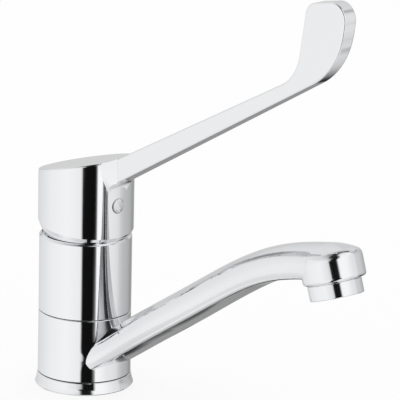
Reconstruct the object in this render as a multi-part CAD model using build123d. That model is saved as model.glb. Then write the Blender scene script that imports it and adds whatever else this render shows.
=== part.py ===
"""Elbow lever tap: a single lever basin mixer with a long lever for the forearm and a swivel spout.

Frame: millimetres, +Z up, origin on the deck at the axis of the body. The spout and the lever point
along -Y. "Reach" is the distance from the body's axis along -Y.
"""

from build123d import *
import os
from math import cos, radians, sin, sqrt, tan

os.makedirs("parts", exist_ok=True)

# Driving sizes of the column, from the deck up
body_radius = 25.0
deck_gasket_foot = 0.3
base_ring_top = 6.8
base_ring_foot_radius = 26.6
base_ring_top_radius = 25.3
base_ring_flare_radius = 24.0
base_ring_edge = 0.6
seam_gap = 0.4
spout_ring_height = 34.4
spout_ring_foot_radius = 25.15
spout_ring_edge = 0.3
body_height = 42.6
body_rim_chamfer = 1.3
seat_height = 50.0
overrun = 1.0
slide_fit = 0.05
seat_fit = 0.1

# Spigot of the body, which the spout turns on
spigot_radius = 18.95
spigot_foot = 0.8
waist_radius = 15.5
waist_bottom = 14.0
waist_top = 33.0
spout_bore_radius = 19.0
seal_section_radius = 1.35
seal_groove_depth = 2.8
seal_groove_width = 3.2
seal_groove_edge = 2.0
slide_ring_wall = 3.0
slide_ring_lip_inset = 0.35

# Inlets and fixing stud under the body
inlet_thread_radius = 4.5
inlet_thread_depth = 13.0
inlet_bore_radius = 3.4
inlet_offset_x = 8.5
inlet_offset_y = 4.5
stud_thread_radius = 3.4
stud_thread_depth = 16.0
stud_offset = 9.5
outlet_bore_radius = 3.6
outlet_cross_height = 26.0
outlet_bore_floor = 22.0

# Cartridge
cartridge_radius = 19.9
cartridge_base_thick = 4.0
port_seal_section = 1.5
port_seal_depth = 1.6
port_radius = 3.2
base_peg_radius = 1.5
base_peg_length = 2.5
base_peg_offset = 15.5
fixed_disc_radius = 17.4
fixed_disc_thick = 3.6
moving_disc_radius = 12.8
moving_disc_thick = 3.2
disc_film = 0.02
mixing_pocket_depth = 1.8
mixing_pocket_radius = 8.4
driver_plate_radius = 12.4
driver_plate_thick = 4.1
driver_boss_half_x = 4.0
driver_boss_half_y = 4.2
driver_boss_height = 14.4
driver_socket_depth = 7.4
housing_wall = 2.2
housing_roof = 2.3
neck_radius = 14.8
neck_height = 8.2
neck_bore_fit = 0.06
collar_radius = 12.0
collar_flange_radius = 17.2
collar_flange_thick = 1.9
collar_slot_half = 4.1
collar_slot_rear = 7.2
collar_top = 98.8
collar_lead = 0.8
housing_shoulder = 70.0

# Clamping nut and the space for the lever's skirt above it
nut_height = 7.85
nut_radius = 21.4
nut_bore_radius = 15.05
nut_slot_width = 5.0
nut_slot_depth = 2.5
nut_slots = 6
nut_lead = 0.6
skirt_space_radius = 23.55
skirt_space_floor = 79.0

# Lever stem and its pivot
pivot_height = 96.0
stem_arm = 20.0
stem_ball_radius = 2.9
stem_rod_radius = 1.9
stem_half = 4.0
stem_eye_half = 3.9
stem_eye_drop = 6.0
stem_top = 112.0
stem_edge = 0.5
ball_socket_fit = 0.25
pin_radius = 1.55
pin_half_length = 11.4
lift_range_deg = 20.0

# Cap of the lever
cap_overhang = 0.75
cap_radius = body_radius + cap_overhang
cap_bottom = 85.0
cap_axis_height = 123.7
cap_top_slope_deg = 13.5
cap_rim_round = 0.9
cap_relief_bulge = 2.35
cap_relief_height = 101.0
cap_relief_reach = 1.5
cap_cavity_radius = 19.5
cap_cavity_top = 111.0
socket_half = 4.06
socket_wall = 3.2
socket_bottom = 102.0
socket_roof_gap = 0.4
screw_web_half = 6.0
screw_web_bottom = 100.3
screw_height = 104.5
screw_radius = 2.45
screw_length = 9.0
screw_hex_radius = 1.45
screw_hex_depth = 3.0
screw_hole_radius = 2.5
plug_radius = 4.15
plug_depth = 4.2
plug_dome = 0.55
plug_edge = 0.3
plug_stem_radius = 2.1
plug_stem_length = 2.6

# Arm of the lever, as seen from the side
arm_inner_reach = 15.0
arm_root_inset = 0.85
arm_root_reach = cap_radius - arm_root_inset
arm_root_bottom = 111.0
arm_root_round = 8.0
arm_under_rise_deg = 29.7
arm_top_rise_deg = 28.0
arm_top_past_cap = 0.85
arm_top_start_reach = cap_radius + arm_top_past_cap
arm_top_blend_radius = 25.0
paddle_front_reach = 191.3
paddle_front_lean_deg = 8.0
paddle_front_bend_radius = 42.0
paddle_back_reach = 161.5
paddle_back_lean_deg = 9.1
paddle_back_bend_radius = 23.5
paddle_top_back_length = 39.6
paddle_top_rise_deg = 11.3
paddle_corner_back_radius = 8.0
paddle_corner_front_radius = 9.0
# Arm of the lever, as seen from above
arm_root_half = 5.8
arm_tip_half = 4.1
arm_tip_reach = 200.0
arm_edge_round = 0.9
# Flared root on the cap: heights, and half-widths where it meets the cap
flare_past_cap = 5.25
flare_reach = cap_radius + flare_past_cap
flare_heights = (108.5, 112.5, 117.5, 125.0, 136.0)
flare_halves = (4.7, 6.6, 8.7, 10.9, 12.0)
flare_inner_reach = 8.0

# Spout, along its upper line
spout_rise_deg = 32.2
spout_root_height = 37.9
spout_bend_reach = 114.0
spout_bend_radius = 184.0
nose_rise_deg = 9.0
spout_start_reach = 12.0
# Cross-section of the spout: half-widths, and depths below the upper line
root_half = 16.2
root_crest_half = 6.0
root_crest_depth = 1.9
root_flank_bow = -0.4
root_shoulder_half = 13.2
root_shoulder_depth = 5.1
root_widest_depth = 12.4
root_corner_half = 13.8
root_corner_depth = 17.8
root_depth = 18.1
middle_half = 13.9
middle_crest_depth = 1.07
middle_flank_bow = 0.36
middle_shoulder_half = 12.0
middle_shoulder_depth = 4.8
middle_corner_half = 12.4
middle_corner_depth = 17.1
middle_depth = 17.3
tip_half = 16.3
tip_crest_half = 8.0
tip_shoulder_half = 16.25
tip_widest_depth = 10.4
tip_corner_half = 14.8
tip_corner_depth = 16.7
tip_depth = 17.2
section_corner_round = 3.0
arm_shoulder_round = 2.0
# Nose block and the outlet
nose_crown_radius = 26.0
nose_bend_radius = 60.0
nose_radius = 16.4
nose_offset = 0.7
nose_height = 26.0
nose_rim_round = 4.2
nose_split_depth = 9.5
nose_foot_round = 1.7
nose_gap = 0.35
outlet_tilt_deg = 18.4
outlet_past_arm = 7.84
outlet_below_arm = 26.49
waterway_radius = 6.0
waterway_start_reach = 8.0
waterway_drop = 9.6
nose_chamber_depth = 10.5

# Aerator
aerator_radius = 14.0
aerator_height = 7.8
aerator_edge = 0.5
aerator_thread_radius = 11.4
aerator_thread_length = 7.2
aerator_lip_radius = 9.4
aerator_lip_thick = 1.4
aerator_bore_radius = 10.2
insert_radius = 10.1
insert_height = 8.0
insert_wall = 1.1
insert_web = 1.6
insert_hole_radius = 0.95
insert_hole_pitch = 3.0
insert_hole_rings = 2
holes_in_first_ring = 6
screen_thick = 0.8
screen_post_radius = 1.6
washer_thick = 1.8
washer_bore_radius = 8.6
thread_fit = 0.06


def disc(radius, bottom, top):
    """Round bar on the body's axis, from one height to another."""
    return Pos(0, 0, bottom) * Cylinder(radius, top - bottom, align=(Align.CENTER, Align.CENTER, Align.MIN))


def tube(outer, inner, bottom, top):
    """Ring on the body's axis."""
    return disc(outer, bottom, top) - disc(inner, bottom - overrun, top + overrun)


def post(x, y, radius, bottom, top):
    """Upright round bar at a place in plan."""
    return Pos(x, y, 0) * disc(radius, bottom, top)


def block(half_x, y_low, y_high, bottom, top):
    """Square-edged block, even about the plane X = 0."""
    size = Box(half_x + half_x, y_high - y_low, top - bottom)
    return Pos(0, (y_low + y_high) / 2, (bottom + top) / 2) * size


def forward_bar(radius, start, length, height):
    """Round bar along -Y at a height, from a reach outwards."""
    bar = Rot(90, 0, 0) * Cylinder(radius, length, align=(Align.CENTER, Align.CENTER, Align.MIN))
    return Pos(0, -start, height) * bar


def side(reach, height):
    """Point in the plane X = 0."""
    return Vector(0, -reach, height)


def side_face(wire):
    """Face in the plane X = 0 from an outline drawn in (reach, height)."""
    return Plane(origin=(0, 0, 0), x_dir=(0, -1, 0), z_dir=(-1, 0, 0)) * make_face(wire)


def side_prism(face, half_width):
    """Block even about X = 0 whose side view is the given face in the plane X = 0."""
    return extrude(face, half_width, dir=(1, 0, 0), both=True)


def spout_spine(share):
    """Point and rise angle on the spout's upper line, by the share of its bend."""
    rise = radians(spout_rise_deg) + share * (radians(nose_rise_deg) - radians(spout_rise_deg))
    start = radians(spout_rise_deg)
    height = spout_root_height + (spout_bend_reach - spout_ring_foot_radius) * tan(start)
    reach = spout_bend_reach + spout_bend_radius * (sin(start) - sin(rise))
    return reach, height + spout_bend_radius * (cos(rise) - cos(start)), rise


# Levels worked out from the driving sizes
spout_bottom = base_ring_top + seam_gap
spout_top = spout_bottom + spout_ring_height
body_bottom = spout_top + seam_gap
body_top = body_bottom + body_height
fixed_disc_bottom = seat_height + cartridge_base_thick
fixed_disc_top = fixed_disc_bottom + fixed_disc_thick
moving_disc_bottom = fixed_disc_top + disc_film
moving_disc_top = moving_disc_bottom + moving_disc_thick
driver_plate_top = moving_disc_top + driver_plate_thick
driver_boss_top = driver_plate_top + driver_boss_height
housing_ceiling = housing_shoulder - housing_roof
collar_flange_top = housing_ceiling - seat_fit
collar_flange_bottom = collar_flange_top - collar_flange_thick
neck_top = housing_shoulder + neck_height
nut_top = housing_shoulder + nut_height
ball_height = pivot_height - stem_arm
disc_travel = stem_arm * sin(radians(lift_range_deg))
moving_disc_y = disc_travel / 2
outlet_axis = Vector(0, -sin(radians(outlet_tilt_deg)), -cos(radians(outlet_tilt_deg)))
arm_end_reach, arm_end_height, arm_end_rise = spout_spine(1)
outlet_point = side(arm_end_reach + outlet_past_arm, arm_end_height - outlet_below_arm)


def outlet_plane(above):
    """Plane square to the outlet, a distance above its mouth, with Z pointing up the outlet."""
    return Plane(origin=outlet_point - outlet_axis * above, x_dir=(1, 0, 0), z_dir=-outlet_axis)


def outlet_disc(radius, low, high):
    """Round bar on the outlet's axis, by distances above its mouth."""
    bar = Cylinder(radius, high - low, align=(Align.CENTER, Align.CENTER, Align.MIN))
    return outlet_plane(low) * bar


def make_base_gasket():
    """Flat rubber ring in the foot of the base ring, which seals on the deck."""
    inner = spigot_radius + slide_ring_wall - overrun
    return tube(body_radius - overrun, inner, 0, deck_gasket_foot + seal_groove_edge)


def make_base_ring():
    """Flared ring screwed on the foot of the body, which carries the spout."""
    inner = spigot_radius + slide_fit
    foot = (base_ring_foot_radius, deck_gasket_foot + base_ring_edge)
    top = (base_ring_top_radius, base_ring_top - base_ring_edge / 2)
    flare = RadiusArc(foot, top, base_ring_flare_radius)
    rest = Polyline(
        top,
        (base_ring_top_radius - base_ring_edge / 2, base_ring_top),
        (inner, base_ring_top),
        (inner, deck_gasket_foot),
        (base_ring_foot_radius - base_ring_edge, deck_gasket_foot),
        foot,
    )
    ring = revolve(side_face(flare + rest), Axis.Z)
    gasket_top = deck_gasket_foot + seal_groove_edge
    inner_gasket = spigot_radius + slide_ring_wall - overrun
    groove = tube(body_radius - overrun + slide_fit, inner_gasket - slide_fit, 0, gasket_top)
    return ring - groove


def seal_heights():
    """Heights of the two spout seals."""
    low = waist_bottom - seal_groove_edge - seal_groove_width / 2
    high = waist_top + seal_groove_edge + seal_groove_width / 2
    return low, high


def make_body():
    """Cast and machined body: cartridge chamber above, turned spigot with the waterways below."""
    outer = disc(body_radius, body_bottom, body_top)
    rim = outer.edges().filter_by(GeomType.CIRCLE).sort_by(Axis.Z)[-1]
    outer = chamfer(rim, body_rim_chamfer)
    foot = outer.edges().filter_by(GeomType.CIRCLE).sort_by(Axis.Z)[0]
    outer = chamfer(foot, spout_ring_edge)
    body = outer + disc(spigot_radius, spigot_foot, body_bottom + overrun)
    body -= tube(spigot_radius + overrun, waist_radius, waist_bottom, waist_top)
    for height in seal_heights():
        low = height - seal_groove_width / 2
        body -= tube(spigot_radius + overrun, spigot_radius - seal_groove_depth, low, low + seal_groove_width)
    # cartridge chamber, nut thread and the space for the lever's skirt
    body -= disc(cartridge_radius + slide_fit, seat_height, body_top)
    body -= disc(nut_radius + slide_fit, housing_shoulder - seat_fit, body_top)
    body -= disc(skirt_space_radius, skirt_space_floor, body_top + overrun)
    # hot and cold inlets, from the foot to the seat
    for x in (-inlet_offset_x, inlet_offset_x):
        thread_top = spigot_foot + inlet_thread_depth
        body -= post(x, inlet_offset_y, inlet_thread_radius, spigot_foot - overrun, thread_top)
        body -= post(x, inlet_offset_y, inlet_bore_radius, spigot_foot, seat_height + overrun)
    # mixed water: down from the seat, then forward into the waist
    body -= post(0, -stud_offset, outlet_bore_radius, outlet_bore_floor, seat_height + overrun)
    body -= forward_bar(outlet_bore_radius, stud_offset, spigot_radius, outlet_cross_height)
    body -= post(0, -stud_offset, stud_thread_radius, spigot_foot - overrun, spigot_foot + stud_thread_depth)
    peg_hole_floor = seat_height - base_peg_length - seat_fit
    for x in (-base_peg_offset, base_peg_offset):
        body -= post(x, 0, base_peg_radius + seat_fit, peg_hole_floor, seat_height + overrun)
    return body


def make_spout_seals():
    """Two rubber O-rings between the spigot and the spout, in their grooves."""
    centre = spout_bore_radius - slide_fit - seal_section_radius
    return [Pos(0, 0, height) * Torus(centre, seal_section_radius) for height in seal_heights()]


def make_slide_ring(bottom):
    """Thin plastic ring on which the spout turns, set back a little from the outer wall."""
    outer = body_radius - slide_ring_lip_inset
    return tube(outer, spout_bore_radius + seat_fit, bottom, bottom + seam_gap)


def spout_plane(reach, height, rise):
    """Plane square to the spout's upper line, with local Y pointing up out of the spout."""
    return Plane(origin=side(reach, height), x_dir=(1, 0, 0), z_dir=(0, -cos(rise), sin(rise)))


def section_face(crest_sizes, shoulder_sizes, side_sizes, corner_sizes):
    """Cross-section of the spout: crest and flanks on top, bowed sides, slightly crowned underside."""
    crest_half, crest, flank_bow = crest_sizes
    shoulder_half, shoulder, shoulder_round = shoulder_sizes
    half, widest = side_sizes
    corner_half, corner, depth = corner_sizes
    crown = ThreePointArc((-crest_half, -crest), (0, 0), (crest_half, -crest))
    run = shoulder_half - crest_half
    fall = shoulder - crest
    across = sqrt(run * run + fall * fall)
    bow = (crest_half + run / 2 + flank_bow * fall / across, -crest - fall / 2 + flank_bow * run / across)
    flank = ThreePointArc((crest_half, -crest), bow, (shoulder_half, -shoulder))
    other = ThreePointArc((-shoulder_half, -shoulder), (-bow[0], bow[1]), (-crest_half, -crest))
    right = ThreePointArc((shoulder_half, -shoulder), (half, -widest), (corner_half, -corner))
    under = ThreePointArc((corner_half, -corner), (0, -depth), (-corner_half, -corner))
    left = ThreePointArc((-corner_half, -corner), (-half, -widest), (-shoulder_half, -shoulder))
    face = make_face(crown + flank + right + under + left + other)
    shoulders = [v for v in face.vertices() if -widest < v.Y < -(shoulder + crest) / 2]
    face = fillet(shoulders, shoulder_round)
    corners = [v for v in face.vertices() if v.Y < -(widest + corner) / 2]
    return fillet(corners, section_corner_round)


def blended(start, end, share):
    """Value a share of the way from one size to another."""
    return start + (end - start) * share


def crown_depth(half):
    """Depth of the nose's round crown at a distance from its middle."""
    return nose_crown_radius - sqrt(nose_crown_radius * nose_crown_radius - half * half)


def spout_section(root_to_middle, middle_to_tip):
    """Section of the spout by how far it has changed from root to middle, and from middle to tip."""
    run = tip_shoulder_half - tip_crest_half
    fall = crown_depth(tip_shoulder_half) - crown_depth(tip_crest_half)
    tip_flank_bow = crown_depth(sqrt(run * run + fall * fall) / 2)

    def sized(root, middle, tip):
        return blended(blended(root, middle, root_to_middle), tip, middle_to_tip)

    crest = (
        sized(root_crest_half, root_crest_half, tip_crest_half),
        sized(root_crest_depth, middle_crest_depth, crown_depth(tip_crest_half)),
        sized(root_flank_bow, middle_flank_bow, tip_flank_bow),
    )
    shoulder = (
        sized(root_shoulder_half, middle_shoulder_half, tip_shoulder_half),
        sized(root_shoulder_depth, middle_shoulder_depth, crown_depth(tip_shoulder_half)),
        sized(arm_shoulder_round, arm_shoulder_round, nose_rim_round),
    )
    widest = (
        sized(root_half, middle_half, tip_half),
        sized(root_widest_depth, root_widest_depth, tip_widest_depth),
    )
    corner = (
        sized(root_corner_half, middle_corner_half, tip_corner_half),
        sized(root_corner_depth, middle_corner_depth, tip_corner_depth),
        sized(root_depth, middle_depth, tip_depth),
    )
    return section_face(crest, shoulder, widest, corner)


def make_spout_arm():
    """Cast arm of the spout, lofted through sections square to its upper line."""
    rise = radians(spout_rise_deg)
    sections = []
    start_shares = (0, 0.35, 0.7, 1)
    for share in start_shares:
        reach = spout_start_reach + (spout_bend_reach - spout_start_reach) * share
        height = spout_root_height + (reach - spout_ring_foot_radius) * tan(rise)
        sections.append(spout_plane(reach, height, rise) * spout_section(share, 0))
    bend_shares = (0.33, 0.66, 1)
    for share in bend_shares:
        reach, height, turned = spout_spine(share)
        sections.append(spout_plane(reach, height, turned) * spout_section(1, share))
    return loft(sections)


def make_nose():
    """Round end of the spout over the aerator: a tilted cylinder under the arm's crowned top."""
    reach, height, rise = spout_spine(1)
    bar = Cylinder(nose_radius, nose_height, align=(Align.CENTER, Align.CENTER, Align.MIN))
    bar = outlet_plane(aerator_height + nose_gap) * Pos(0, -nose_offset, 0) * bar
    bar = fillet(bar.edges().sort_by(Axis.Z)[0], nose_foot_round)
    # the crowned top carries on from the arm in a tighter bend
    centre = side(reach + nose_bend_radius * sin(rise), height - nose_bend_radius * cos(rise))
    crown = Torus(nose_bend_radius - nose_crown_radius, nose_crown_radius)
    nose = bar & (Pos(centre) * Rot(0, 90, 0) * crown)
    rim = [edge for edge in nose.edges() if edge.center().Z > height - nose_split_depth]
    nose = fillet(rim, nose_rim_round)
    # the upper rear half is the arm itself
    wide = nose_height + nose_height
    rear = Box(wide, wide, wide, align=(Align.CENTER, Align.MIN, Align.MAX))
    return nose - spout_plane(reach, height, rise) * Pos(0, -nose_split_depth, 0) * rear


def make_waterway():
    """Cored passage from the ring to the nose, following the spout's bend."""
    start = radians(spout_rise_deg)
    end_reach, end_height, end_rise = spout_spine(1)
    bend_reach, bend_height, _ = spout_spine(0)

    def inside(reach, height, rise):
        return side(reach + waterway_drop * sin(rise), height - waterway_drop * cos(rise))

    first_height = spout_root_height + (waterway_start_reach - spout_ring_foot_radius) * tan(start)
    first = inside(waterway_start_reach, first_height, start)
    bend = inside(bend_reach, bend_height, start)
    end = inside(end_reach, end_height, end_rise)
    middle = inside(*spout_spine(1 / 2))
    path = Line(first, bend) + ThreePointArc(bend, middle, end)
    profile = Plane(origin=first, z_dir=(bend - first)) * Circle(waterway_radius)
    return sweep(profile, path=path)


def make_spout():
    """Swivel spout: the ring that turns on the spigot, the arm and the nose, cast in one."""
    ring = loft(
        [Pos(0, 0, spout_bottom) * Circle(spout_ring_foot_radius), Pos(0, 0, spout_top) * Circle(body_radius)]
    )
    ring = chamfer(ring.edges(), spout_ring_edge)
    spout = ring + make_spout_arm() + make_nose()
    spout -= disc(spout_bore_radius, spout_bottom - overrun, spout_top + overrun)
    spout -= make_waterway()
    seat = aerator_height + nose_gap
    thread_top = aerator_height + aerator_thread_length + washer_thick
    spout -= outlet_disc(aerator_thread_radius + thread_fit, seat - overrun, thread_top)
    spout -= outlet_disc(washer_bore_radius, seat, aerator_height + nose_chamber_depth + overrun)
    return spout


def make_aerator_housing():
    """Plated brass ring of the aerator, with its thread and the lip that holds the insert."""
    ring = outlet_disc(aerator_radius, 0, aerator_height)
    ring = fillet(ring.edges(), aerator_edge)
    top = aerator_height + aerator_thread_length
    ring += outlet_disc(aerator_thread_radius, aerator_height - overrun, top)
    ring -= outlet_disc(aerator_bore_radius, aerator_lip_thick, top + overrun)
    return ring - outlet_disc(aerator_lip_radius, -overrun, aerator_lip_thick + overrun)


def insert_hole_places():
    """Places of the holes in the insert's grid, by rings."""
    places = [(0, 0)]
    for ring in range(1, insert_hole_rings + 1):
        around = holes_in_first_ring * ring
        for step in range(around):
            turn = radians(360 * step / around)
            places.append((ring * insert_hole_pitch * cos(turn), ring * insert_hole_pitch * sin(turn)))
    return places


def make_aerator_insert():
    """Moulded flow straightener with its grid of holes."""
    low = aerator_lip_thick + seat_fit
    shell = outlet_disc(insert_radius, low, low + insert_height)
    shell -= outlet_disc(insert_radius - insert_wall, low + insert_web, low + insert_height + overrun)
    drill = Cylinder(insert_hole_radius, 2 * (insert_web + overrun))
    holes = [outlet_plane(low) * Pos(x, y, 0) * drill for x, y in insert_hole_places()]
    shell -= holes
    return shell + outlet_disc(screen_post_radius, low + insert_web / 2, low + insert_height)


def make_aerator_screen():
    """Disc screen on the insert, which keeps grit out of the grid."""
    low = aerator_lip_thick + seat_fit + insert_height
    screen = outlet_disc(insert_radius, low, low + screen_thick)
    drill = Cylinder(insert_hole_radius, 2 * (screen_thick + overrun))
    return screen - [outlet_plane(low) * Pos(x, y, 0) * drill for x, y in insert_hole_places()[1:]]


def make_aerator_washer():
    """Rubber washer between the aerator and the shoulder in the nose."""
    low = aerator_height + aerator_thread_length
    outer = outlet_disc(aerator_thread_radius, low, low + washer_thick)
    return outer - outlet_disc(washer_bore_radius, low - overrun, low + washer_thick + overrun)


def port_places():
    """Hot, cold and mixed ports in plan."""
    return [(-inlet_offset_x, inlet_offset_y), (inlet_offset_x, inlet_offset_y), (0, -stud_offset)]


def make_cartridge_base():
    """Plastic base of the cartridge, with its three ports, seal recesses and locating pegs."""
    base = disc(cartridge_radius, seat_height, fixed_disc_bottom)
    for x, y in port_places():
        base -= post(x, y, port_radius, seat_height - overrun, fixed_disc_bottom + overrun)
        recess = port_radius + port_seal_section
        base -= post(x, y, recess, seat_height - overrun, seat_height + port_seal_depth)
    for x in (-base_peg_offset, base_peg_offset):
        base += post(x, 0, base_peg_radius, seat_height - base_peg_length, seat_height + overrun)
    return base


def make_port_seals():
    """Three rubber rings under the cartridge base, one at each port."""
    seals = []
    top = seat_height + port_seal_depth
    for x, y in port_places():
        outer = post(x, y, port_radius + port_seal_section - slide_fit, seat_height, top)
        seals.append(outer - post(x, y, port_radius, seat_height - overrun, top + overrun))
    return seals


def make_fixed_disc():
    """Fixed ceramic disc with its three ports."""
    plate = disc(fixed_disc_radius, fixed_disc_bottom, fixed_disc_top)
    for x, y in port_places():
        plate -= post(x, y, port_radius, fixed_disc_bottom - overrun, fixed_disc_top + overrun)
    return plate


def make_moving_disc():
    """Moving ceramic disc, with the pocket on its underside that joins the ports."""
    plate = post(0, moving_disc_y, moving_disc_radius, moving_disc_bottom, moving_disc_top)
    pocket_top = moving_disc_bottom + mixing_pocket_depth
    plate -= post(0, moving_disc_y, mixing_pocket_radius, moving_disc_bottom - overrun, pocket_top)
    return plate


def make_disc_driver():
    """Slide on the moving disc, with the boss that takes the ball of the stem."""
    plate = post(0, moving_disc_y, driver_plate_radius, moving_disc_top, driver_plate_top)
    root = driver_plate_top - overrun
    boss = block(driver_boss_half_x, -driver_boss_half_y, driver_boss_half_y, root, driver_boss_top)
    driver = plate + boss
    socket = stem_ball_radius + ball_socket_fit
    return driver - disc(socket, driver_boss_top - driver_socket_depth, driver_boss_top + overrun)


def make_cartridge_housing():
    """Moulded housing over the discs, with the neck that guides the collar."""
    housing = disc(cartridge_radius, fixed_disc_bottom, housing_shoulder)
    housing += disc(neck_radius, housing_shoulder - overrun, neck_top)
    housing -= disc(cartridge_radius - housing_wall, fixed_disc_bottom - overrun, housing_ceiling)
    return housing - disc(collar_radius + neck_bore_fit, housing_ceiling - overrun, neck_top + overrun)


def make_turning_collar():
    """Slotted collar that turns in the neck, guides the slide and holds the stem's pin."""
    collar = disc(collar_flange_radius, collar_flange_bottom, collar_flange_top)
    collar += disc(collar_radius, collar_flange_top - overrun, collar_top)
    collar = chamfer(collar.edges().sort_by(Axis.Z)[-1], collar_lead)
    slot_front = overrun - collar_flange_radius
    slot_floor = collar_flange_bottom - overrun
    collar -= block(collar_slot_half, slot_front, collar_slot_rear, slot_floor, collar_top + overrun)
    pin_hole = Rot(0, 90, 0) * Cylinder(pin_radius + slide_fit, collar_flange_radius + collar_flange_radius)
    return collar - Pos(0, 0, pivot_height) * pin_hole


def make_stem_pin():
    """Steel cross pin that the stem tilts on."""
    return Pos(0, 0, pivot_height) * Rot(0, 90, 0) * Cylinder(pin_radius, pin_half_length + pin_half_length)


def make_lever_stem():
    """Steel stem: square head in the lever, eye on the pin, rod and ball in the slide."""
    head = block(stem_half, -stem_half, stem_half, pivot_height, stem_top)
    head = chamfer(head.faces().sort_by(Axis.Z)[-1].edges(), stem_edge)
    eye = block(stem_eye_half, -stem_half, stem_half, pivot_height - stem_eye_drop, pivot_height + overrun)
    rod = disc(stem_rod_radius, ball_height, pivot_height - stem_eye_drop + overrun)
    ball = Pos(0, 0, ball_height) * Sphere(stem_ball_radius)
    stem = head + eye + rod + ball
    pin_hole = Rot(0, 90, 0) * Cylinder(pin_radius + slide_fit, cap_radius)
    return stem - Pos(0, 0, pivot_height) * pin_hole


def make_cartridge_nut():
    """Brass ring nut that clamps the cartridge, with slots for its spanner."""
    nut = tube(nut_radius, nut_bore_radius, housing_shoulder, nut_top)
    outer_rim = nut.edges().filter_by(GeomType.CIRCLE).sort_by(Axis.Z)[-2:].sort_by(SortBy.RADIUS)[-1]
    nut = chamfer(outer_rim, nut_lead)
    long = nut_radius + overrun
    slot = Box(long, nut_slot_width, nut_slot_depth + nut_slot_depth)
    slot = Pos(long / 2 + nut_bore_radius / 2, 0, nut_top) * slot
    for step in range(nut_slots):
        nut -= Rot(0, 0, 360 * step / nut_slots) * slot
    return nut


def cap_top_height(reach):
    """Height of the cap's sloping top at a reach."""
    return cap_axis_height + reach * tan(radians(cap_top_slope_deg))


def make_cap():
    """Round cap of the lever: sloping top, and a lower rim turned to a sphere so that it can tilt."""
    upper = disc(cap_radius, cap_relief_height, cap_top_height(cap_radius) + overrun)
    lower = disc(cap_radius, cap_bottom, cap_relief_height)
    relief = Pos(0, -cap_relief_reach, cap_relief_height) * Sphere(cap_radius + cap_relief_bulge)
    cap = upper + (lower & relief)
    wide = 4 * cap_radius
    top = Plane(
        origin=(0, 0, cap_axis_height),
        x_dir=(1, 0, 0),
        z_dir=(0, sin(radians(cap_top_slope_deg)), cos(radians(cap_top_slope_deg))),
    )
    cap -= top * Box(wide, wide, wide, align=(Align.CENTER, Align.CENTER, Align.MIN))
    return fillet(cap.faces().sort_by(Axis.Z)[-1].edges(), cap_rim_round)


def lever_outline():
    """Side view of the lever's arm and paddle, from inside the cap to the paddle's tip."""
    under = radians(arm_under_rise_deg)
    upper = radians(arm_top_rise_deg)
    start_z = cap_top_height(arm_top_start_reach)
    root_x = arm_root_reach + arm_root_round
    tangent = (root_x - arm_root_round * sin(under), arm_root_bottom + arm_root_round * cos(under))
    front_z = tangent[1] + (paddle_front_reach - tangent[0]) * tan(under)
    back_z = start_z + (paddle_back_reach - arm_top_start_reach) * tan(upper)
    back_lean = tan(radians(paddle_back_lean_deg))
    front_lean = tan(radians(paddle_front_lean_deg))
    top_back = (paddle_back_reach + paddle_top_back_length * back_lean, back_z + paddle_top_back_length)
    rise = tan(radians(paddle_top_rise_deg))
    # the top line of the paddle runs from its back corner to where it meets the front line
    short = front_z - top_back[1] + (top_back[0] - paddle_front_reach) / front_lean
    across = short / (rise - 1 / front_lean)
    top_front = (top_back[0] + across, top_back[1] + across * rise)
    turn = (radians(90) - under) / 2
    root = ThreePointArc(
        (arm_root_reach, arm_root_bottom),
        (root_x - arm_root_round * cos(turn), arm_root_bottom + arm_root_round * sin(turn)),
        tangent,
    )
    corners = [
        tangent,
        (paddle_front_reach, front_z),
        top_front,
        top_back,
        (paddle_back_reach, back_z),
        (arm_top_start_reach, start_z),
        (arm_inner_reach, cap_top_height(arm_inner_reach)),
    ]
    radii = [
        paddle_front_bend_radius,
        paddle_corner_front_radius,
        paddle_corner_back_radius,
        paddle_back_bend_radius,
        arm_top_blend_radius,
    ]
    rim = FilletPolyline(*corners, radius=radii)
    back = Polyline(corners[-1], (arm_inner_reach, arm_root_bottom), (arm_root_reach, arm_root_bottom))
    return side_face(root + rim + back)


def flare_section(height, half):
    """Plan of the flared root at a height: a curve on each side, from the cap out to the arm."""
    seat = sqrt(cap_radius * cap_radius - half * half)
    lean = (arm_root_half - arm_tip_half) / (arm_tip_reach - flare_reach)
    right = TangentArc((arm_root_half, -flare_reach), (half, -seat), tangent=(lean, 1))
    left = TangentArc((-arm_root_half, -flare_reach), (-half, -seat), tangent=(-lean, 1))
    inner_left = (-half / 2, -flare_inner_reach)
    inner_right = (half / 2, -flare_inner_reach)
    inside = Polyline((half, -seat), inner_right, inner_left, (-half, -seat))
    front = Line((arm_root_half, -flare_reach), (-arm_root_half, -flare_reach))
    return Pos(0, 0, height) * make_face(right + inside + left + front)


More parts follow.
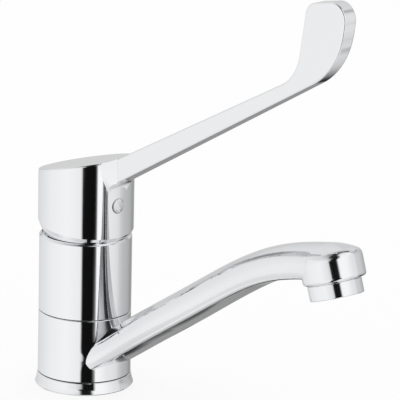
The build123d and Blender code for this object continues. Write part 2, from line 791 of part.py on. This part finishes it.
def make_lever():
    """Lever casting: cap, flared root, arm and upturned paddle in one, plated brass."""
    flare = loft([flare_section(height, half) for height, half in zip(flare_heights, flare_halves)])
    slab = side_prism(lever_outline(), cap_radius)
    lean = (arm_root_half - arm_tip_half) / (arm_tip_reach - flare_reach)
    inner_half = arm_root_half + (flare_reach - arm_inner_reach) * lean
    plan = make_face(
        Polyline(
            (-inner_half, overrun - arm_inner_reach),
            (inner_half, overrun - arm_inner_reach),
            (arm_tip_half, -arm_tip_reach),
            (-arm_tip_half, -arm_tip_reach),
            close=True,
        )
    )
    arm = slab & extrude(plan, cap_top_height(arm_tip_reach) + arm_tip_reach)
    outside = [edge for edge in arm.edges() if edge.center().Y < -cap_radius]
    arm = fillet([edge for edge in outside if abs(edge.center().X) > arm_tip_half / 2], arm_edge_round)
    lever = make_cap() + (flare & slab) + arm
    # inside of the cap, the socket for the stem and the web for its screw
    cavity = disc(cap_cavity_radius, cap_bottom - overrun, cap_cavity_top)
    socket_half_out = socket_half + socket_wall
    boss = block(socket_half_out, -socket_half_out, socket_half_out, socket_bottom, cap_cavity_top)
    web = block(screw_web_half, -cap_radius, -socket_half, screw_web_bottom, cap_cavity_top)
    lever -= cavity - boss - web
    socket_roof = stem_top + socket_roof_gap
    lever -= block(socket_half, -socket_half, socket_half, socket_bottom - overrun, socket_roof)
    lever -= forward_bar(screw_hole_radius, 0, cap_radius, screw_height)
    return lever - forward_bar(plug_radius + slide_fit, cap_radius - plug_depth, cap_radius, screw_height)


def make_lever_screw():
    """Hexagon socket set screw that locks the lever on its stem."""
    start = stem_half + slide_fit
    screw = forward_bar(screw_radius, start, screw_length, screw_height)
    end = Plane(origin=(0, -start - screw_length, screw_height), z_dir=(0, 1, 0))
    return screw - extrude(end * RegularPolygon(screw_hex_radius, 6), screw_hex_depth)


def make_lever_plug():
    """Push-in plug that hides the screw, with a slightly domed face."""
    face_reach = cap_radius - plug_edge
    head_depth = plug_depth - plug_edge - slide_fit
    head = forward_bar(plug_radius, face_reach - head_depth, head_depth, screw_height)
    dome_radius = (plug_radius * plug_radius + plug_dome * plug_dome) / (plug_dome + plug_dome)
    dome = Pos(0, dome_radius - plug_dome - face_reach, screw_height) * Sphere(dome_radius)
    dome &= forward_bar(plug_radius, face_reach, plug_dome, screw_height)
    stem_reach = face_reach - head_depth - plug_stem_length
    return head + dome + forward_bar(plug_stem_radius, stem_reach, plug_stem_length, screw_height)


pieces = {
    "base_gasket": make_base_gasket(),
    "base_ring": make_base_ring(),
    "body": make_body(),
    "spout_seals": make_spout_seals(),
    "spout_slide_ring_lower": make_slide_ring(base_ring_top),
    "spout_slide_ring_upper": make_slide_ring(spout_top),
    "spout": make_spout(),
    "aerator_housing": make_aerator_housing(),
    "aerator_insert": make_aerator_insert(),
    "aerator_screen": make_aerator_screen(),
    "aerator_washer": make_aerator_washer(),
    "cartridge_base": make_cartridge_base(),
    "cartridge_port_seals": make_port_seals(),
    "fixed_disc": make_fixed_disc(),
    "moving_disc": make_moving_disc(),
    "disc_driver": make_disc_driver(),
    "cartridge_housing": make_cartridge_housing(),
    "turning_collar": make_turning_collar(),
    "stem_pin": make_stem_pin(),
    "lever_stem": make_lever_stem(),
    "cartridge_nut": make_cartridge_nut(),
    "lever": make_lever(),
    "lever_screw": make_lever_screw(),
    "lever_plug": make_lever_plug(),
}

for name, shape in pieces.items():
    shape = Compound(children=shape) if isinstance(shape, list) else shape
    export_step(shape, f"parts/{name}.step")
print("disc travel", round(disc_travel, 3), "over", lift_range_deg, "degrees")
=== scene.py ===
"""Elbow lever basin tap in polished chrome.

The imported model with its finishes, in a white studio, with the camera.
"""

import math

import bpy
from mathutils import Matrix, Vector


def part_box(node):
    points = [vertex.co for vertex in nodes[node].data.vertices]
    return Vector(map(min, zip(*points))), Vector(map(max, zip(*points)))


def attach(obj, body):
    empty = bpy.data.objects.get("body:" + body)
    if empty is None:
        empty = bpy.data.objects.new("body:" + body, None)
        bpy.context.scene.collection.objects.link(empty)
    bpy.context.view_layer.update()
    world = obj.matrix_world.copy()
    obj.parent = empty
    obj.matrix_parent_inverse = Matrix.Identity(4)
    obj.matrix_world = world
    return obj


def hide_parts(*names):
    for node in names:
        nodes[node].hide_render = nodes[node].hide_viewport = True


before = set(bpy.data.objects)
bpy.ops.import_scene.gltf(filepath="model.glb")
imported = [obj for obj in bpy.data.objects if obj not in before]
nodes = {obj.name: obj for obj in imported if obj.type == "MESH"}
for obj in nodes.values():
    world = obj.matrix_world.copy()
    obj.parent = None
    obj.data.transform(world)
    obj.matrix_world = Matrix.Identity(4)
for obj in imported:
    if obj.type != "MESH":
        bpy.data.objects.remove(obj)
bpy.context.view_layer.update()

# Camera
# A long lens about 2.2 m away, in front of the tap on its left and a little above the cap.
# Heading, height angle and roll are those of the photograph.
heading, rise, roll = math.radians(-43.3), math.radians(15.71), math.radians(1.16)
stand = (-1.4030, -1.5777, 0.6970)
back = Vector((math.sin(heading) * math.cos(rise), -math.cos(heading) * math.cos(rise), math.sin(rise)))
level = Vector((math.cos(heading), math.sin(heading), 0))
over = back.cross(level)
right = level * math.cos(roll) + over * math.sin(roll)
top = over * math.cos(roll) - level * math.sin(roll)
axes = Matrix((right, top, back)).transposed().to_4x4()
camera = bpy.data.objects.new("camera", bpy.data.cameras.new("camera"))
camera.matrix_world = Matrix.Translation(stand) @ axes
camera.data.lens = 368.3
camera.data.sensor_width = 36
camera.data.clip_end = 50
bpy.context.collection.objects.link(camera)
scene = bpy.context.scene
scene.camera = camera
scene.view_settings.view_transform = "Standard"

# Studio
# A white tent round the tap, as a jeweller's photographer builds it: pale walls, one black card that
# draws the line down the column, a dark opening overhead for the camera crane, and the table's far side
# in half shade. It is seen by reflections only; the camera and the soft light see plain white.


def linear(code):
    """Linear colour from an sRGB hex code."""
    parts = [int(code[i : i + 2], 16) / 255 for i in (1, 3, 5)]
    return [p / 12.92 if p <= 0.04045 else ((p + 0.055) / 1.055) ** 2.4 for p in parts] + [1]


def add(tree, kind, links=(), values=(), **settings):
    """One node: its settings, the values of its inputs, and the outputs linked into its inputs."""
    node = tree.nodes.new(kind)
    for name, value in settings.items():
        setattr(node, name, value)
    for key, value in dict(values).items():
        node.inputs[key].default_value = value
    for key, source in dict(links).items():
        tree.links.new(source, node.inputs[key])
    return node


world = bpy.data.worlds.new("white tent")
scene.world = world
world.use_nodes = True
tent = world.node_tree
tent.nodes.clear()
way = add(tent, "ShaderNodeTexCoord").outputs["Generated"]
ahead = Vector((back.x, back.y, 0)).normalized()
toward = add(tent, "ShaderNodeVectorMath", {0: way}, {1: ahead}, operation="DOT_PRODUCT").outputs["Value"]
across = add(tent, "ShaderNodeVectorMath", {0: way}, {1: level}, operation="DOT_PRODUCT").outputs["Value"]
up = add(tent, "ShaderNodeSeparateXYZ", {0: way}).outputs["Z"]
turn = add(tent, "ShaderNodeMath", {0: across, 1: toward}, operation="ARCTAN2").outputs[0]
turn_to_ramp = {1: 1 / math.tau, 2: 0.5}
around = add(tent, "ShaderNodeMath", {0: turn}, turn_to_ramp, operation="MULTIPLY_ADD").outputs[0]
tilt = add(tent, "ShaderNodeMath", {0: up}, operation="ARCSINE").outputs[0]
tilt = add(tent, "ShaderNodeMath", {0: tilt}, {1: math.degrees(1)}, operation="MULTIPLY").outputs[0]


def wall(stops):
    """Greys round one level of the tent, by degrees to the right of the line to the camera."""
    band = add(tent, "ShaderNodeValToRGB", {0: around})
    ramp = band.color_ramp
    # a new ramp has two elements, which take the first two stops
    ready = len(ramp.elements)
    for index, (degrees, grey) in enumerate(stops):
        place = degrees / 360 + 0.5
        if index < ready:
            stop = ramp.elements[index]
            stop.position = place
        else:
            stop = ramp.elements.new(place)
        stop.color = linear("#" + f"{grey:02X}" * 3)
    return band.outputs["Color"]


# levels of the tent from the table up: height angle of each in degrees, then its greys from 0 to 255
horizon = [
    (-180, 202), (180, 208), (-160, 198), (-135, 220), (-90, 233), (-45, 242), (-18, 226),
    (-6, 190), (-3, 130), (0, 16), (23, 16), (26, 100), (30, 249), (50, 246), (80, 224), (90, 222),
    (97, 204), (120, 200), (150, 178), (160, 196),
]
levels = [
    (-78, [
        (-180, 190), (180, 186), (-30, 200), (-8, 184), (-2, 16), (24, 18), (30, 150), (60, 214),
    ]),
    (-60, [
        (-180, 168), (180, 174), (-165, 165), (-150, 212), (-100, 238), (-40, 238), (-3, 236),
        (0, 10), (24, 10), (28, 244), (90, 222), (114, 186), (132, 140), (150, 130), (165, 170),
    ]),
    (-48, [
        (-180, 80), (180, 100), (-166, 70), (-152, 206), (-90, 211), (-40, 236), (-6, 240),
        (-2, 10), (24, 10), (28, 245), (90, 226), (106, 222), (126, 211), (140, 192), (150, 158),
        (158, 132), (166, 120),
    ]),
    (-43.5, [
        (-180, 50), (180, 50), (-166, 56), (-154, 210), (-120, 215), (-75, 216), (-40, 238),
        (-6, 236), (-3, 10), (24, 10), (28, 248), (60, 228), (92, 224), (112, 217), (125, 198),
        (150, 150), (159, 126), (168, 50),
    ]),
    (-35.5, [
        (-180, 46), (180, 44), (-166, 56), (-154, 212), (-120, 218), (-75, 222), (-40, 240),
        (-7, 236), (-3.5, 14), (22, 12), (27, 240), (60, 228), (66, 222), (74, 130), (88, 118),
        (94, 218), (104, 214), (108, 110), (113, 66), (150, 56), (160, 44),
    ]),
    (-32.4, [
        (-180, 44), (180, 42), (-166, 56), (-154, 216), (-120, 221), (-75, 227), (-15, 243),
        (-8, 236), (-4, 20), (20, 14), (27, 230), (60, 228), (66, 222), (74, 128), (88, 116),
        (94, 218), (101, 208), (106, 80), (145, 62), (160, 42),
    ]),
    (-31.2, [
        (-180, 180), (180, 150), (-154, 220), (-120, 229), (-75, 236), (-15, 243), (-8, 232),
        (-4, 20), (20, 14), (27, 230), (60, 226), (90, 220), (96, 214), (105, 150), (113, 116),
        (133, 98), (149, 132), (163, 146),
    ]),
    (-24, [
        (-180, 184), (180, 140), (-150, 220), (-120, 228), (-90, 236), (-45, 243), (-9, 236),
        (-4, 20), (20, 14), (27, 240), (60, 228), (92, 224), (102, 195), (108, 183), (120, 160),
        (132, 165), (144, 142), (165, 134),
    ]),
    (-16, [
        (-180, 206), (180, 200), (-150, 216), (-120, 226), (-90, 237), (-45, 243), (-12, 236),
        (-9, 222), (-5.5, 16), (24, 14), (27.5, 110), (30, 250), (36, 250), (58, 231), (78, 225),
        (89, 216), (93, 204), (106, 188), (124, 180), (136, 170), (151, 145), (163, 168),
    ]),
    (-6, [
        (-180, 204), (180, 206), (-150, 206), (-135, 218), (-90, 234), (-45, 242), (-9, 228),
        (-6, 200), (-2, 80), (2, 28), (22, 18), (26, 110), (30, 246), (50, 244), (80, 222),
        (89, 222), (95, 192), (102, 164), (112, 184), (144, 182), (156, 176), (168, 200),
    ]),
    (0, horizon),
    (6.5, horizon),
    (7.8, [
        (-180, 206), (180, 205), (-158, 204), (-155, 160), (-152, 164), (-149, 202), (-135, 221),
        (-90, 232), (-45, 242), (-15, 232), (-11, 206), (-7.5, 70), (-4, 18), (23, 16), (26, 100),
        (29, 236), (31, 250), (50, 246), (75, 226), (90, 224), (97, 212), (120, 190), (150, 180),
        (168, 204),
    ]),
    (9.2, [
        (-180, 206), (180, 205), (-158, 204), (-155, 160), (-152, 164), (-149, 202), (-135, 221),
        (-90, 232), (-45, 242), (-15, 230), (-12, 190), (-9, 34), (-6, 18), (23, 16), (26, 100),
        (29, 236), (31, 250), (50, 246), (75, 226), (90, 224), (97, 212), (120, 190), (150, 180),
        (168, 204),
    ]),
    (12.5, [
        (-180, 210), (180, 203), (-158, 212), (-154.5, 132), (-151.5, 136), (-149, 204),
        (-135, 221), (-90, 234), (-45, 238), (-12, 232), (-9, 222), (-5, 90), (-1, 16), (15, 26),
        (18.5, 84), (22.5, 230), (27, 246), (50, 246), (78, 226), (95, 222), (110, 196),
        (126, 200), (150, 200),
    ]),
    (24, [
        (-180, 213), (180, 205), (-157, 221), (-154.5, 142), (-151.5, 146), (-149.5, 222),
        (-90, 233), (-45, 236), (-22, 226), (-8, 160), (-3, 40), (3, 22), (20, 24), (28, 246),
        (60, 242), (93, 222), (99, 190), (107, 188), (118, 174), (126, 146), (136, 150),
        (146, 208),
    ]),
    (32, [
        (-180, 217), (180, 208), (-150, 222), (-120, 222), (-50, 224), (-21, 208), (-9, 130),
        (0, 28), (20, 26), (28, 170), (36, 246), (80, 240), (94, 222), (99, 186), (107, 182),
        (114, 192), (124, 190), (136, 212),
    ]),
    (40, [
        (-180, 219), (180, 212), (-150, 222), (-120, 222), (-50, 220), (-23, 200), (-11, 120),
        (0, 26), (20, 28), (30, 150), (38, 242), (80, 240), (95, 222), (100, 166), (107, 180),
        (113, 212), (124, 214), (150, 212),
    ]),
    (46, [
        (-180, 218), (180, 211), (-60, 216), (-30, 186), (-22, 170), (-17, 96), (-8, 50), (0, 30),
        (20, 36), (30, 150), (36, 240), (80, 240), (94, 226), (108, 208), (124, 214), (148, 211),
    ]),
    (54, [
        (-180, 216), (180, 210), (-60, 212), (-38, 186), (-31, 130), (-26, 44), (12, 36), (22, 60),
        (32, 238), (80, 238), (93, 220), (101, 108), (120, 104), (126, 140), (133, 224),
        (146, 210),
    ]),
    (66, [
        (-180, 170), (180, 170), (-60, 180), (-42, 150), (-32, 40), (12, 40), (28, 170), (45, 224),
        (88, 216), (98, 96), (128, 106), (136, 170),
    ]),
    (82, [
        (-180, 60), (180, 60), (-30, 34), (60, 60), (95, 96), (130, 98),
    ]),
]
below, lowest = levels[0]
walls = wall(lowest)
for height, stops in levels[1:]:
    band = wall(stops)
    step = add(tent, "ShaderNodeMapRange", {"Value": tilt}, {"From Min": below, "From Max": height})
    both = {0: step.outputs["Result"], 6: walls, 7: band}
    walls = add(tent, "ShaderNodeMix", both, data_type="RGBA").outputs[2]
    below = height
ray = add(tent, "ShaderNodeLightPath").outputs
mirrored = add(tent, "ShaderNodeBackground", {"Color": walls}, {"Strength": 1.09})
plain = add(tent, "ShaderNodeBackground", values={"Color": linear("#FFFFFF"), "Strength": 1.0})
sides = {0: ray["Is Glossy Ray"], 1: plain.outputs[0], 2: mirrored.outputs[0]}
either = add(tent, "ShaderNodeMixShader", sides)
add(tent, "ShaderNodeOutputWorld", {0: either.outputs[0]})

# Floor
# The pale laminate top of the table. It takes the tap's soft shadow and lies a hair below the gasket.
# Reflections pass it, so the chrome sees the tent.
table = bpy.data.meshes.new("table")
half_width = 6.0
hair = 0.0001
seen_white = 0.82
corners = [(x * half_width, y * half_width, 0) for x, y in ((-1, -1), (1, -1), (1, 1), (-1, 1))]
table.from_pydata(corners, [], [(0, 1, 2, 3)])
floor = bpy.data.objects.new("floor", table)
floor.location.z = -hair
bpy.context.collection.objects.link(floor)
laminate = bpy.data.materials.new("white laminate table")
laminate.use_nodes = True
tree = laminate.node_tree
tree.nodes.clear()
ray = add(tree, "ShaderNodeLightPath").outputs
matt = add(tree, "ShaderNodeBsdfDiffuse", values={"Color": linear("#F8F8F8")})
lit = add(tree, "ShaderNodeEmission", values={"Color": linear("#FFFFFF"), "Strength": 1.0})
seen = add(tree, "ShaderNodeMixShader", {1: matt.outputs[0], 2: lit.outputs[0]}, {0: seen_white})
sides = {0: ray["Is Camera Ray"], 1: matt.outputs[0], 2: seen.outputs[0]}
for_camera = add(tree, "ShaderNodeMixShader", sides)
gone = add(tree, "ShaderNodeBsdfTransparent")
sides = {0: ray["Is Glossy Ray"], 1: for_camera.outputs[0], 2: gone.outputs[0]}
whole = add(tree, "ShaderNodeMixShader", sides)
add(tree, "ShaderNodeOutputMaterial", {0: whole.outputs[0]})
table.materials.append(laminate)

# Body, spout and lever castings
# Brass castings, ground and polished on a mop, then nickel and bright chrome plated. Polishing leaves the
# faces a little wavy, about 12 mm from crest to crest, and the plate shows faint wipe marks.


def finish_node(name, material):
    """Gives a carried-over node its finish."""
    mesh = nodes[name].data
    mesh.materials.clear()
    mesh.materials.append(material)


def new_finish(name):
    """A material with its shader and the place on the piece in millimetres."""
    mm_per_metre = 1000
    material = bpy.data.materials.new(name)
    material.use_nodes = True
    tree = material.node_tree
    shader = tree.nodes["Principled BSDF"]
    place = add(tree, "ShaderNodeTexCoord").outputs["Object"]
    scaled = add(tree, "ShaderNodeVectorMath", {0: place}, operation="SCALE")
    scaled.inputs["Scale"].default_value = mm_per_metre
    return material, tree, shader, scaled.outputs["Vector"]


def roughen(tree, shader, pattern, low, high, start=0.0, end=1.0):
    """Roughness from low to high, as a pattern goes from start to end."""
    span = {"From Min": start, "From Max": end, "To Min": low, "To Max": high}
    shine = add(tree, "ShaderNodeMapRange", {"Value": pattern.outputs["Fac"]}, span)
    tree.links.new(shine.outputs["Result"], shader.inputs["Roughness"])


def emboss(tree, shader, pattern, strength, depth):
    """Bumps that follow a pattern, with their depth in metres."""
    deep = {"Strength": strength, "Distance": depth}
    bump = add(tree, "ShaderNodeBump", {"Height": pattern.outputs["Fac"]}, deep)
    tree.links.new(bump.outputs["Normal"], shader.inputs["Normal"])


crest_mm = 12
wipe_mm = 5
chrome, tree, shader, place = new_finish("bright chrome plate")
shader.inputs["Base Color"].default_value = linear("#F4F5F7")
shader.inputs["Metallic"].default_value = 1.0
wave = add(tree, "ShaderNodeTexNoise", {"Vector": place}, {"Scale": 1 / crest_mm, "Detail": 1.0})
fine = {"Scale": 1 / wipe_mm, "Detail": 4.0, "Roughness": 0.6}
wipe = add(tree, "ShaderNodeTexNoise", {"Vector": place}, fine)
roughen(tree, shader, wipe, 0.035, 0.075, start=0.35, end=0.75)
emboss(tree, shader, wave, 0.25, 0.00003)
for name in ("body", "spout", "lever", "base_ring", "aerator_housing"):
    finish_node(name, chrome)

# Lever's flared root
# The same casting with the sides of its root drawn straight from cap to arm, as the mop leaves them. The
# carried-over node has them hollowed by up to a millimetre, so this piece stands for it and rides on the
# lever. All sizes are in metres.
casting = bpy.data.objects.new("lever_casting", nodes["lever"].data.copy())
bpy.context.collection.objects.link(casting)
skin = casting.data
cap_radius = 0.02575
root_end = 0.031
root_bottom = 0.106
root_core_half = 0.004
arm_half = 0.0058
widest = 0.0120
widest_height = 0.136
narrowing = 9.6
least_side_normal = 0.3
clear = 0.00001
decimals = 6


def root_side(height, reach):
    """Half width of the root at a height and reach, and how it changes with each of them."""
    half = widest - narrowing * (widest_height - height) ** 2
    rate = 2 * narrowing * (widest_height - height)
    seat = math.sqrt(cap_radius**2 - half**2)
    length = root_end - seat
    share = (root_end - reach) / length
    share_rate = -share * half * rate / (seat * length)
    along = -(half - arm_half) / length
    upward = rate * share + (half - arm_half) * share_rate
    return arm_half + (half - arm_half) * share, along, upward


def on_root(point):
    """Whether a point lies on the sides of the root, past the cap and before the arm."""
    beyond = math.hypot(point.x, point.y) > cap_radius - clear and -root_end - clear < point.y < 0
    return beyond and abs(point.x) > root_core_half and point.z > root_bottom


normals = [corner.vector.copy() for corner in skin.corner_normals]
drawn_out = {}
for face in skin.polygons:
    points = [skin.vertices[index].co for index in face.vertices]
    if abs(face.normal.x) > least_side_normal and all(on_root(point) for point in points):
        for index in face.loop_indices:
            point = skin.vertices[skin.loops[index].vertex_index].co
            half, along, upward = root_side(point.z, -point.y)
            facing = math.copysign(1, point.x)
            normals[index] = Vector((facing, along, -upward)).normalized()
            drawn_out[point.to_tuple(decimals)] = facing * max(half, abs(point.x))
for corner in skin.vertices:
    spot = corner.co.to_tuple(decimals)
    if spot in drawn_out:
        corner.co.x = drawn_out[spot]
skin.normals_split_custom_set(normals)
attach(casting, "lever")
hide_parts("lever")

# Plug
# Small ABS plug pushed over the set screw, moulded glossy and metallised. It is a little uneven and duller
# than the plate, with painted shade round its rim that is stronger on the left.


def tinted(tree, pattern, low, high):
    """Colour between two hex codes, by a pattern."""
    tint = add(tree, "ShaderNodeValToRGB", {0: pattern.outputs["Fac"]})
    tint.color_ramp.elements[0].color = linear(low)
    tint.color_ramp.elements[1].color = linear(high)
    return tint.outputs["Color"]


# painted shade: the plug's colour darkens towards #4C4E50 round its rim, about a centre moved to the right,
# so the dark crescent is widest on the left
shade_shift = 0.15
shade_start = 0.84
shade_end = 1.08
half_in_mm = 500
plating, tree, shader, place = new_finish("metallised ABS")
shader.inputs["Metallic"].default_value = 0.9
shader.inputs["Roughness"].default_value = 0.08
shade = add(tree, "ShaderNodeTexNoise", {"Vector": place}, {"Scale": 0.5, "Detail": 2.0})
face_tint = tinted(tree, shade, "#E2E4E6", "#F4F5F6")
plug_low, plug_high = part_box("lever_plug")
plug_radius = (plug_high.x - plug_low.x) * half_in_mm
shade_centre = (plug_low + plug_high) * half_in_mm
shade_centre.x += shade_shift * plug_radius
off = add(tree, "ShaderNodeVectorMath", {0: place}, {1: shade_centre}, operation="SUBTRACT").outputs["Vector"]
flat = add(tree, "ShaderNodeVectorMath", {0: off}, {1: (1, 0, 1)}, operation="MULTIPLY").outputs["Vector"]
out = add(tree, "ShaderNodeVectorMath", {0: flat}, operation="LENGTH").outputs["Value"]
shade_span = {"From Min": shade_start * plug_radius, "From Max": shade_end * plug_radius}
rim_shade = add(tree, "ShaderNodeMapRange", {"Value": out}, shade_span)
# the painted rim shade mixed over the plug's own tint
both = {0: rim_shade.outputs["Result"], 6: face_tint}
shaded_plug = add(tree, "ShaderNodeMix", both, {7: linear("#4C4E50")}, data_type="RGBA")
tree.links.new(shaded_plug.outputs[2], shader.inputs["Base Color"])
sink = add(tree, "ShaderNodeTexNoise", {"Vector": place}, {"Scale": 0.35, "Detail": 1.0})
emboss(tree, shader, sink, 0.6, 0.0004)
finish_node("lever_plug", plating)

# Seals and gasket
# Moulded nitrile rubber: black, dull, with a fine even grain from the mould. They sit round the spigot,
# under the ports, over the aerator and under the foot.
nitrile, tree, shader, place = new_finish("moulded nitrile rubber")
shader.inputs["Roughness"].default_value = 0.7
grain = add(tree, "ShaderNodeTexNoise", {"Vector": place}, {"Scale": 6.0, "Detail": 3.0})
tree.links.new(tinted(tree, grain, "#161617", "#232324"), shader.inputs["Base Color"])
emboss(tree, shader, grain, 0.4, 0.00005)
for name in ("base_gasket", "spout_seals", "aerator_washer", "cartridge_port_seals"):
    finish_node(name, nitrile)

# Slide rings
# Two thin rings of dark filled acetal above and below the spout, cut from tube. Only their edges show,
# and they draw the dark seams round the column.
filled, tree, shader, place = new_finish("dark filled acetal")
shader.inputs["Roughness"].default_value = 0.5
streak = add(tree, "ShaderNodeTexNoise", {"Vector": place}, {"Scale": 3.0, "Detail": 3.0})
tree.links.new(tinted(tree, streak, "#2A2B2C", "#3B3C3D"), shader.inputs["Base Color"])
for name in ("spout_slide_ring_lower", "spout_slide_ring_upper"):
    finish_node(name, filled)

# Turning collar
# Turned acetal, milky and slippery, with faint rings left by the tool. It turns in the cartridge's neck
# and carries the cross pin.


def tool_rings(tree, place, scale, distortion):
    """Rings round the upright axis, as a lathe tool leaves them."""
    values = {"Scale": scale, "Distortion": distortion}
    settings = {"wave_type": "RINGS", "rings_direction": "Z"}
    return add(tree, "ShaderNodeTexWave", {"Vector": place}, values, **settings)


acetal, tree, shader, place = new_finish("turned acetal")
shader.inputs["Roughness"].default_value = 0.42
rings = tool_rings(tree, place, 1.2, 0.4)
tree.links.new(tinted(tree, rings, "#D4D5D3", "#E2E3E1"), shader.inputs["Base Color"])
finish_node("turning_collar", acetal)

# Flow straightener and screen
# Moulded acetal grid of the aerator and the screen on top of it, pale grey and slightly glossy. They sit
# in the plated ring in the nose.
grid, tree, shader, place = new_finish("moulded grey acetal")
shader.inputs["Roughness"].default_value = 0.3
speckle = add(tree, "ShaderNodeTexNoise", {"Vector": place}, {"Scale": 2.5, "Detail": 3.0})
tree.links.new(tinted(tree, speckle, "#9EA1A4", "#B4B7BA"), shader.inputs["Base Color"])
for name in ("aerator_insert", "aerator_screen"):
    finish_node(name, grid)

# Cartridge mouldings
# Base, housing and the slide that carries the moving disc, moulded in glass-filled nylon. It is pale
# grey, with the cloudy streaks of the filler.
nylon, tree, shader, place = new_finish("glass-filled nylon")
shader.inputs["Roughness"].default_value = 0.48
cloudy = {"Scale": 0.4, "Detail": 5.0, "Distortion": 0.6}
cloud = add(tree, "ShaderNodeTexNoise", {"Vector": place}, cloudy)
tree.links.new(tinted(tree, cloud, "#C2C4C6", "#DADCDD"), shader.inputs["Base Color"])
for name in ("cartridge_base", "cartridge_housing", "disc_driver"):
    finish_node(name, nylon)

# Ceramic discs
# Pressed alumina, fired and lapped flat until it shines: warm white with a fine speckle. The lower disc
# stays put and the upper one slides on it.
alumina, tree, shader, place = new_finish("lapped alumina")
shader.inputs["Roughness"].default_value = 0.14
fleck = add(tree, "ShaderNodeTexNoise", {"Vector": place}, {"Scale": 9.0, "Detail": 2.0})
tree.links.new(tinted(tree, fleck, "#E6E3DB", "#F1EFE9"), shader.inputs["Base Color"])
for name in ("fixed_disc", "moving_disc"):
    finish_node(name, alumina)

# Stem, pin and set screw
# Cold-drawn stainless steel, with fine lines along the bar. The stem tilts on the pin, and the screw
# behind the plug holds the lever on the stem.
drawn, tree, shader, place = new_finish("cold-drawn stainless steel")
shader.inputs["Base Color"].default_value = linear("#BFC0C1")
shader.inputs["Metallic"].default_value = 1.0
line_scale = (6.0, 6.0, 0.4)
squeezed = add(tree, "ShaderNodeVectorMath", {0: place}, {1: line_scale}, operation="MULTIPLY")
lines = add(tree, "ShaderNodeTexNoise", {"Vector": squeezed.outputs["Vector"]}, {"Scale": 1.0, "Detail": 3.0})
roughen(tree, shader, lines, 0.18, 0.42)
for name in ("lever_stem", "stem_pin", "lever_screw"):
    finish_node(name, drawn)

# Ring nut
# Turned brass, left bare inside the body, with the tool's rings on its faces. It clamps the cartridge in
# its chamber.
turned, tree, shader, place = new_finish("turned brass")
shader.inputs["Base Color"].default_value = linear("#D9BE82")
shader.inputs["Metallic"].default_value = 1.0
rings = tool_rings(tree, place, 1.6, 0.3)
roughen(tree, shader, rings, 0.2, 0.38)
finish_node("cartridge_nut", turned)
